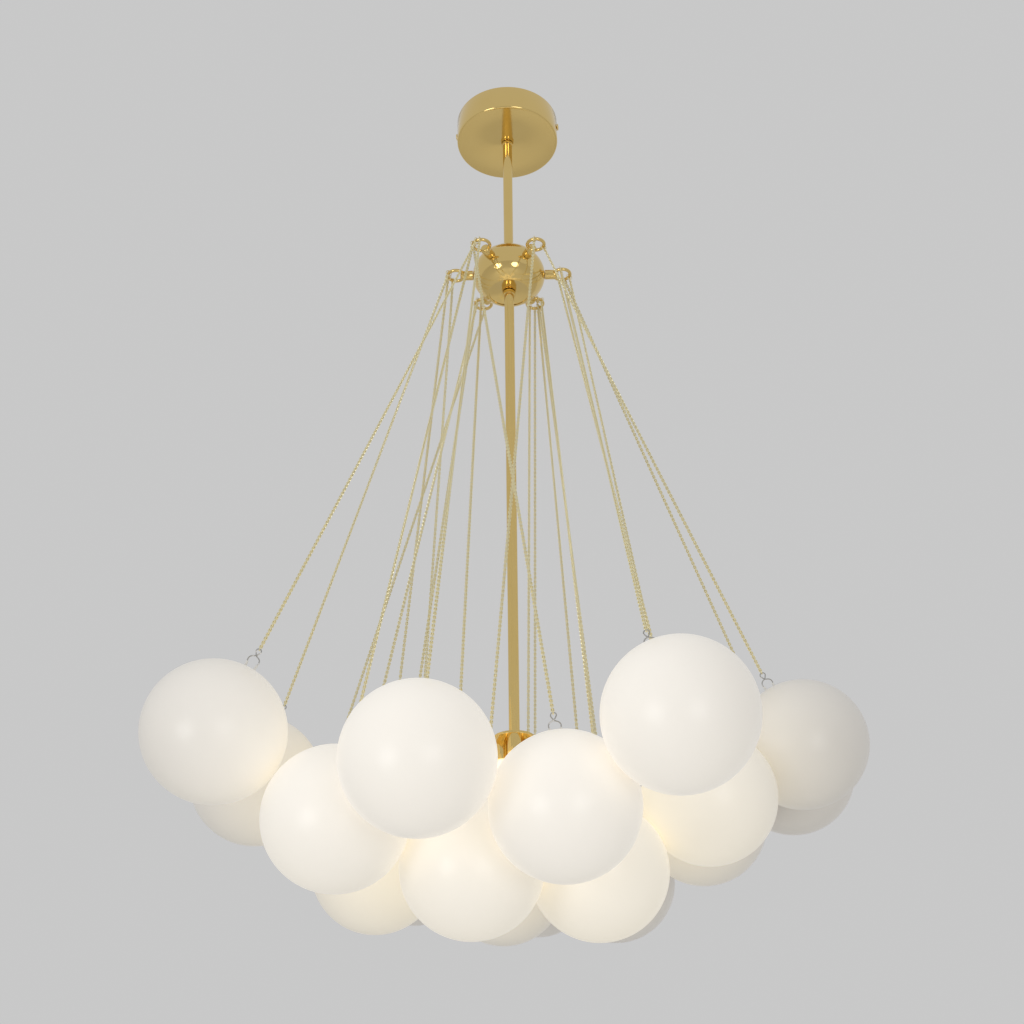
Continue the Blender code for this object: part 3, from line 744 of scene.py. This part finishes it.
class CHANDELIER_OT_canopy(bpy.types.Operator):
    """Make the canopy cup and its two side screws, and finish the bracket inside it"""

    bl_idname = "chandelier.make_canopy"
    bl_label = "Canopy"

    def execute(self, context):
        sizes = context.scene.chandelier_sizes
        brass = polished_brass(context.scene.chandelier_colours)
        self.make_cup(sizes, brass)
        self.make_screws(brass)
        bracket = frame["nodes"]["ceiling_bracket"].data
        bracket.materials.clear()
        bracket.materials.append(plated_steel(context.scene.chandelier_colours))
        return {"FINISHED"}

    def make_cup(self, sizes, brass):
        """Cup with its open side against the ceiling and a rounded lower corner."""
        wall = sizes.canopy_wall
        hole = ROD_SPIGOT_RADIUS + FIT_GAP
        corner = CANOPY_CORNER_RADIUS
        centre = (CANOPY_RADIUS - corner, corner - CANOPY_HEIGHT)
        outline = [
            (hole, -CANOPY_HEIGHT), *arc(*centre, corner, -pi / 2, 0, CORNER_POINTS), (CANOPY_RADIUS, 0),
            (CANOPY_RADIUS - wall, 0), *arc(*centre, corner - wall, 0, -pi / 2, CORNER_POINTS),
            (hole, wall - CANOPY_HEIGHT),
        ]
        cup = turned(outline, sizes.turned_steps, closed=True)
        round_edges(cup, sizes.edge_rounding)
        add_piece("canopy_cup", cup, Matrix(), brass, "polished_brass", body_of("canopy"), "canopy")

    def make_screws(self, brass):
        """Side screws that hold the cup to the bracket's ears."""
        start = CANOPY_RADIUS + FIT_GAP
        outline = [(radius, start + out) for radius, out in SCREW_OUTLINE]
        for side, angle in (("right", CANOPY_TURN), ("left", CANOPY_TURN + pi)):
            screw = turned(outline, steps=40)
            round_edges(screw, width=0.00015)
            place = Matrix.Translation((0, 0, SCREW_LEVEL)) @ turn_to_side(angle)
            node = "canopy_screw_" + side
            add_piece("side_screw_" + side, screw, place, brass, "polished_brass", body_of(node), node)


class CHANDELIER_OT_rod(bpy.types.Operator):
    """Make the down rod with its collar and nut"""

    bl_idname = "chandelier.make_rod"
    bl_label = "Down rod"

    def execute(self, context):
        sizes = context.scene.chandelier_sizes
        low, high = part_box("down_rod")
        nut_top = HUB_LEVEL + HUB_FLOOR - FIT_GAP
        nut_floor = nut_top - ROD_NUT_HEIGHT
        collar_top = -CANOPY_HEIGHT - FIT_GAP
        collar_floor = collar_top - sizes.collar_height
        outline = [
            (ROD_BORE_RADIUS, low.z), (ROD_RADIUS, low.z), (ROD_RADIUS, nut_floor),
            (ROD_NUT_RADIUS, nut_floor), (ROD_NUT_RADIUS, nut_top), (ROD_RADIUS, nut_top),
            (ROD_RADIUS, collar_floor), (sizes.collar_radius, collar_floor),
            (sizes.collar_radius, collar_top), (ROD_SPIGOT_RADIUS, collar_top),
            (ROD_SPIGOT_RADIUS, high.z), (ROD_BORE_RADIUS, high.z),
        ]
        rod = turned(outline, steps=64, closed=True)
        round_edges(rod, sizes.edge_rounding)
        brass = polished_brass(context.scene.chandelier_colours)
        add_piece("rod_tube", rod, Matrix(), brass, "polished_brass", body_of("down_rod"), "down_rod")
        return {"FINISHED"}


class CHANDELIER_OT_hub(bpy.types.Operator):
    """Make the hub, a hollow flattened ball with a groove round its flat top"""

    bl_idname = "chandelier.make_hub"
    bl_label = "Hub"

    def execute(self, context):
        sizes = context.scene.chandelier_sizes
        bore = ROD_RADIUS + FIT_GAP
        rim = self.radius_at(HUB_TOP_HEIGHT, 0)
        mouth = self.radius_at(-HUB_DEPTH, 0) - HUB_LIP
        roof = HUB_TOP_HEIGHT - HUB_WALL
        base = HUB_FLOOR + HUB_WALL
        outline = [
            (bore, HUB_TOP_HEIGHT),
            *((rim - inwards, HUB_TOP_HEIGHT - depth) for inwards, depth in HUB_GROOVE),
            *self.side(-HUB_DEPTH, HUB_TOP_HEIGHT, 0), (mouth, -HUB_DEPTH), (mouth, HUB_FLOOR),
            (bore, HUB_FLOOR), (bore, base), *reversed(self.side(base, roof, HUB_WALL)), (bore, roof),
        ]
        ball = turned(outline, sizes.turned_steps, closed=True)
        round_edges(ball, sizes.edge_rounding)
        brass = polished_brass(context.scene.chandelier_colours)
        place = Matrix.Translation((0, 0, HUB_LEVEL))
        add_piece("hub_ball", ball, place, brass, "polished_brass", body_of("hub"), "hub")
        return {"FINISHED"}

    def radius_at(self, height, inset):
        """Radius of the hub's side at a height over the hook rings, set in by the inset."""
        bulge = HUB_UPPER_BULGE if height > -HUB_WIDEST_DROP else HUB_LOWER_BULGE
        share = (height + HUB_WIDEST_DROP) / (bulge - inset)
        return (HUB_RADIUS - inset) * sqrt(1 - share ** 2)

    def side(self, low, high, inset):
        """Points down the hub's side."""
        step = (low - high) / (HUB_SIDE_POINTS - 1)
        heights = [high + step * i for i in range(HUB_SIDE_POINTS)]
        return [(self.radius_at(height, inset), height) for height in heights]


class CHANDELIER_OT_hooks(bpy.types.Operator):
    """Make the six hook rings, each welded over the end of a thick stud"""

    bl_idname = "chandelier.make_hooks"
    bl_label = "Hook rings"

    def execute(self, context):
        brass = polished_brass(context.scene.chandelier_colours)
        shoulder = HUB_RADIUS + FIT_GAP
        tip = HOOK_CIRCLE_RADIUS - HOOK_RING_RADIUS + HOOK_STUD_OVERLAP
        outline = [
            (0, shoulder - HOOK_SPIGOT_LENGTH), (HOOK_SPIGOT_RADIUS, shoulder - HOOK_SPIGOT_LENGTH),
            (HOOK_SPIGOT_RADIUS, shoulder), (HOOK_STUD_RADIUS, HUB_RADIUS),
            *((radius, tip + out) for radius, out in STUD_TIP),
        ]
        for place, angle in HOOK_PLACES.items():
            stud = turned(outline, steps=48)
            round_edges(stud, width=0.0003)
            eye = wire_ring(HOOK_RING_RADIUS, HOOK_WIRE_RADIUS, steps=72, sides=16)
            hook = joined(
                (stud, turn_to_side(0)), (eye, Matrix.Translation((HOOK_CIRCLE_RADIUS, 0, 0)))
            )
            turn = Matrix.Translation((0, 0, HUB_LEVEL)) @ Matrix.Rotation(angle, 4, "Z")
            node = "hook_" + place
            add_piece("hook_ring_" + place, hook, turn, brass, "polished_brass", body_of(node), node)
        return {"FINISHED"}


class CHANDELIER_OT_lamp(bpy.types.Operator):
    """Make the lamp body with its three sockets and bulbs"""

    bl_idname = "chandelier.make_lamp"
    bl_label = "Lamp"

    def execute(self, context):
        brass = polished_brass(context.scene.chandelier_colours)
        level = Matrix.Translation((0, 0, LAMP_LEVEL))
        places = [
            Matrix.Rotation(tau * i / SOCKET_COUNT - pi / 2, 4, "Z")
            @ Matrix.Translation((SOCKET_CIRCLE_RADIUS, 0, 0))
            for i in range(SOCKET_COUNT)
        ]
        parts = [(self.disc(), Matrix())] + [(self.socket(), place) for place in places]
        add_piece("lamp_disc", joined(*parts), level, brass, "polished_brass", body_of("lamp_body"),
                  "lamp_body")
        glass = lit_bulb()
        for number, place in enumerate(places, 1):
            node = f"bulb_{number}"
            add_piece(f"bulb_glass_{number}", self.bulb(), level @ place, glass, "bulb_glass",
                      body_of(node), node)
        return {"FINISHED"}

    def disc(self):
        """Disc on a boss that the rod's end sits in."""
        seat = ROD_RADIUS + FIT_GAP
        outline = [
            (seat, 0), (LAMP_DISC_RADIUS, 0), (LAMP_DISC_RADIUS, LAMP_DISC_FLOOR),
            (LAMP_BOSS_RADIUS, LAMP_DISC_FLOOR), (LAMP_BOSS_RADIUS, LAMP_BOSS_FLOOR),
            (ROD_BORE_RADIUS, LAMP_BOSS_FLOOR), (ROD_BORE_RADIUS, LAMP_ROD_SEAT), (seat, LAMP_ROD_SEAT),
        ]
        disc = turned(outline, steps=72, closed=True)
        round_edges(disc, width=0.0004)
        return disc

    def socket(self):
        """Socket that hangs from the disc with its mouth down."""
        outline = [
            (0, SOCKET_ROOF), (SOCKET_RADIUS, SOCKET_ROOF), (SOCKET_RADIUS, SOCKET_FLOOR),
            (SOCKET_MOUTH_RADIUS, SOCKET_FLOOR), (SOCKET_MOUTH_RADIUS, SOCKET_SEAT), (0, SOCKET_SEAT),
        ]
        socket = turned(outline, steps=40)
        round_edges(socket, width=0.0003)
        return socket

    def bulb(self):
        """Capsule bulb with its base in the socket."""
        top = SOCKET_SEAT - FIT_GAP
        neck = SOCKET_FLOOR - FIT_GAP
        tip_centre = top - BULB_LENGTH + BULB_RADIUS
        outline = [
            (0, top), (BULB_BASE_RADIUS, top), (BULB_BASE_RADIUS, neck),
            (BULB_RADIUS - 0.0006, neck - 0.0009), (BULB_RADIUS, neck - 0.0022),
            *arc(0, tip_centre, BULB_RADIUS, 0, -pi / 2, CORNER_POINTS)[:-1],
            (0, tip_centre - BULB_RADIUS),
        ]
        return turned(outline, steps=40)


def globe_places():
    """Number of each globe, with its chain's length and the frames of its hanger and its glass."""
    for number, (hook, x, y, z, lean_x, lean_y, ring_degrees) in enumerate(GLOBES, 1):
        centre = Vector((x, y, z)) * GLOBE_SPACING + Vector((0, 0, LAMP_LEVEL))
        hook_turn = Matrix.Rotation(HOOK_PLACES[hook], 4, "Z")
        hook_centre = hook_turn @ Vector((HOOK_CIRCLE_RADIUS, 0, HUB_LEVEL))
        outward = Matrix.Rotation(radians(ring_degrees), 4, "Z") @ RIGHT
        hang_point = hook_centre + outward * HOOK_RING_RADIUS
        hole_way = ((hang_point - centre).normalized() + Vector((lean_x, lean_y, 0))).normalized()
        globe_frame = frame_at(centre, hole_way, RIGHT)
        clip_ring = globe_frame @ Vector((0, 0, GLOBE_RADIUS + CLIP_RING_HEIGHT))
        hanger_frame = frame_at(hang_point, (hang_point - clip_ring).normalized(), outward)
        yield number, (hang_point - clip_ring).length, hanger_frame, globe_frame


class CHANDELIER_OT_globes(bpy.types.Operator):
    """Make the blown glass globes"""

    bl_idname = "chandelier.make_globes"
    bl_label = "Globes"

    def execute(self, context):
        sizes = context.scene.chandelier_sizes
        glass = opal_glass(context.scene.chandelier_colours, sizes)
        inside = opal_inside(context.scene.chandelier_colours)
        inner = GLOBE_RADIUS - sizes.glass_wall
        hole = GLOBE_HOLE_RADIUS
        outline = arc(0, 0, inner, -pi / 2, pi / 2 - asin(hole / inner), 28)
        outline += arc(0, 0, GLOBE_RADIUS, pi / 2 - asin(hole / GLOBE_RADIUS), -pi / 2, 44)
        outline[0] = (0, -inner)
        outline[-1] = (0, -GLOBE_RADIUS)
        for number, _, _, globe_frame in globe_places():
            globe = turned(outline, steps=72)
            round_edges(globe, width=0.0008, segments=3)
            node = f"globe_{number:02d}"
            piece = add_piece(f"globe_glass_{number:02d}", globe, globe_frame, glass, "frosted_glass",
                              body_of(node), node)
            # Inner faces take the inside material, whose even emission is a painted glow
            piece.data.materials.append(inside)
            centre = globe_frame.translation
            for face in piece.data.polygons:
                face.material_index = int((face.center - centre).length < (inner + GLOBE_RADIUS) / 2)
        return {"FINISHED"}


class CHANDELIER_OT_hangers(bpy.types.Operator):
    """Make each globe's end link, fine chain, wire clip and sleeves"""

    bl_idname = "chandelier.make_hangers"
    bl_label = "Chains and clips"

    def execute(self, context):
        sizes = context.scene.chandelier_sizes
        colours = context.scene.chandelier_colours
        for number, length, hanger_frame, globe_frame in globe_places():
            node = f"hanger_{number:02d}"
            body = body_of(node)
            clip_turn = hanger_frame.inverted() @ globe_frame
            add_piece(f"chain_{number:02d}", self.chain(sizes, length, clip_turn), hanger_frame,
                      chain_brass(colours), "chain_brass", body, node)
            link = wire_ring(sizes.link_radius, sizes.link_wire / 2, steps=28, sides=8)
            place = Matrix.Translation((0, 0, -FIT_GAP)) @ Matrix.Rotation(pi / 2, 4, "X")
            add_piece(f"end_link_{number:02d}", link, hanger_frame @ place, chain_brass(colours),
                      "chain_brass", body)
            add_piece(f"wire_clip_{number:02d}", self.clip(sizes), globe_frame, drawn_steel(colours),
                      "bracket_steel", body)
            add_piece(f"clip_sleeves_{number:02d}", self.sleeves(sizes), globe_frame,
                      soft_sleeve(colours), "frosted_glass", body)
        return {"FINISHED"}

    def chain(self, sizes, length, clip_turn):
        """Fine chain from the end link down to the clip's ring, in the hanger's frame."""
        wire = sizes.chain_wire
        half_length = (sizes.chain_pitch + wire) / 2
        top = wire / 2 + sizes.link_wire / 2 - sizes.link_radius - FIT_GAP
        foot = sizes.clip_ring_radius - length - (wire + sizes.clip_wire) / 2
        count = round((top - foot - 2 * half_length) / sizes.chain_pitch) + 1
        pitch = (top - foot - 2 * half_length) / (count - 1)
        side = clip_turn.to_3x3() @ RIGHT
        last_turn = (atan2(side.y, side.x) - pi / 2 * count) % pi - pi / 2
        step = pi / 2 + last_turn / (count - 1)
        bm = self.chain_link(sizes, half_length)
        # Each round copies the links made so far and hangs the copy below them
        parts_per_link = [len(parts) for parts in (bm.verts, bm.edges, bm.faces)]
        made = 1
        while made < count:
            more = min(made, count - made)
            geom = [
                part for parts, number in zip((bm.verts, bm.edges, bm.faces), parts_per_link)
                for part in list(parts)[:more * number]
            ]
            copies = bmesh.ops.duplicate(bm, geom=geom)["geom"]
            bmesh.ops.transform(
                bm, verts=[part for part in copies if isinstance(part, bmesh.types.BMVert)],
                matrix=Matrix.Translation((0, 0, -pitch * made)) @ Matrix.Rotation(step * made, 4, "Z"),
            )
            made += more
        bmesh.ops.translate(bm, verts=bm.verts, vec=(0, 0, top - half_length))
        return bm

    def chain_link(self, sizes, half_length):
        """One link: an oval ring that stands upright, square to the X axis."""
        steps = 8
        bm = wire_ring(sizes.chain_width / 2, sizes.chain_wire / 2, steps, sides=4)
        turn = Matrix.Rotation(pi / 2, 3, "Y") @ Matrix.Rotation(pi / steps, 3, "Z")
        bmesh.ops.rotate(bm, cent=(0, 0, 0), matrix=turn, verts=bm.verts)
        stretch = half_length - sizes.chain_width / 2
        for vert in bm.verts:
            vert.co.z += stretch if vert.co.z > 0 else -stretch
        return bm

    def clip(self, sizes):
        """Wire clip in its globe's frame: ring on top, legs that cross, bulge and hook under the glass."""
        foot = CLIP_FOOT_HEIGHT
        leg = CLIP_LEG_OFFSET
        crossing = 0.00085
        half = [
            (0.0090, 0, foot), (0.0068, 0, foot), (0.0058, 0, foot + 0.0006),
            (leg, 0, foot + 0.0018), (leg, 0, GLOBE_RADIUS), (0.0055, 0, GLOBE_RADIUS + 0.004),
            (0.0062, 0, GLOBE_RADIUS + 0.0096), (0.0046, crossing / 2, GLOBE_RADIUS + 0.0125),
            (0, crossing, GLOBE_RADIUS + 0.015),
        ]
        centre = GLOBE_RADIUS + CLIP_RING_HEIGHT
        loop = []
        count = 9
        for i in range(count):
            share = i / (count - 1)
            angle = pi + pi / 4 - (tau - pi / 2) * share
            loop.append((
                sizes.clip_ring_radius * cos(angle), crossing * (1 - 2 * share),
                centre + sizes.clip_ring_radius * sin(angle),
            ))
        other = [(-x, -y, z) for x, y, z in reversed(half)]
        return bent_wire(half + loop + other, sizes.clip_wire / 2, sides=10, steps=4)

    def sleeves(self, sizes):
        """Soft tubes on the clip's legs where they pass through the glass."""
        path = [
            (CLIP_LEG_OFFSET, 0, GLOBE_RADIUS - 0.0025), (CLIP_LEG_OFFSET, 0, GLOBE_RADIUS),
            (0.00545, 0, GLOBE_RADIUS + 0.0030), (0.0058, 0, GLOBE_RADIUS + 0.0062),
        ]
        other = [(-x, y, z) for x, y, z in path]
        radius = sizes.sleeve_diameter / 2
        tubes = [bent_wire(points, radius, sides=12, steps=3) for points in (path, other)]
        return joined(*((tube, Matrix()) for tube in tubes))


OPERATORS = (
    CHANDELIER_OT_stage,
    CHANDELIER_OT_canopy,
    CHANDELIER_OT_rod,
    CHANDELIER_OT_hub,
    CHANDELIER_OT_hooks,
    CHANDELIER_OT_lamp,
    CHANDELIER_OT_globes,
    CHANDELIER_OT_hangers,
)


class CHANDELIER_PT_pieces(bpy.types.Panel):
    """Lists the chandelier's pieces, sizes and colours"""

    bl_idname = "CHANDELIER_PT_pieces"
    bl_label = "Cluster chandelier"
    bl_space_type = "VIEW_3D"
    bl_region_type = "UI"
    bl_category = "Chandelier"

    def draw(self, context):
        layout = self.layout
        for operator in OPERATORS:
            layout.operator(operator.bl_idname)
        for group in ("chandelier_sizes", "chandelier_colours", "chandelier_stage"):
            settings = getattr(context.scene, group)
            box = layout.box()
            for name in settings.__annotations__:
                box.prop(settings, name)


CLASSES = (ChandelierSizes, ChandelierColours, ChandelierStage, *OPERATORS, CHANDELIER_PT_pieces)


def register():
    for cls in CLASSES:
        bpy.utils.register_class(cls)
    bpy.types.Scene.chandelier_sizes = PointerProperty(type=ChandelierSizes)
    bpy.types.Scene.chandelier_colours = PointerProperty(type=ChandelierColours)
    bpy.types.Scene.chandelier_stage = PointerProperty(type=ChandelierStage)


def unregister():
    del bpy.types.Scene.chandelier_stage
    del bpy.types.Scene.chandelier_colours
    del bpy.types.Scene.chandelier_sizes
    for cls in reversed(CLASSES):
        bpy.utils.unregister_class(cls)


def main():
    register()
    bpy.context.scene.view_settings.view_transform = "Standard"
    bpy.ops.chandelier.make_stage()
    bpy.ops.chandelier.make_canopy()
    bpy.ops.chandelier.make_rod()
    bpy.ops.chandelier.make_hub()
    bpy.ops.chandelier.make_hooks()
    bpy.ops.chandelier.make_lamp()
    bpy.ops.chandelier.make_globes()
    bpy.ops.chandelier.make_hangers()


if __name__ == "__main__":
    main()
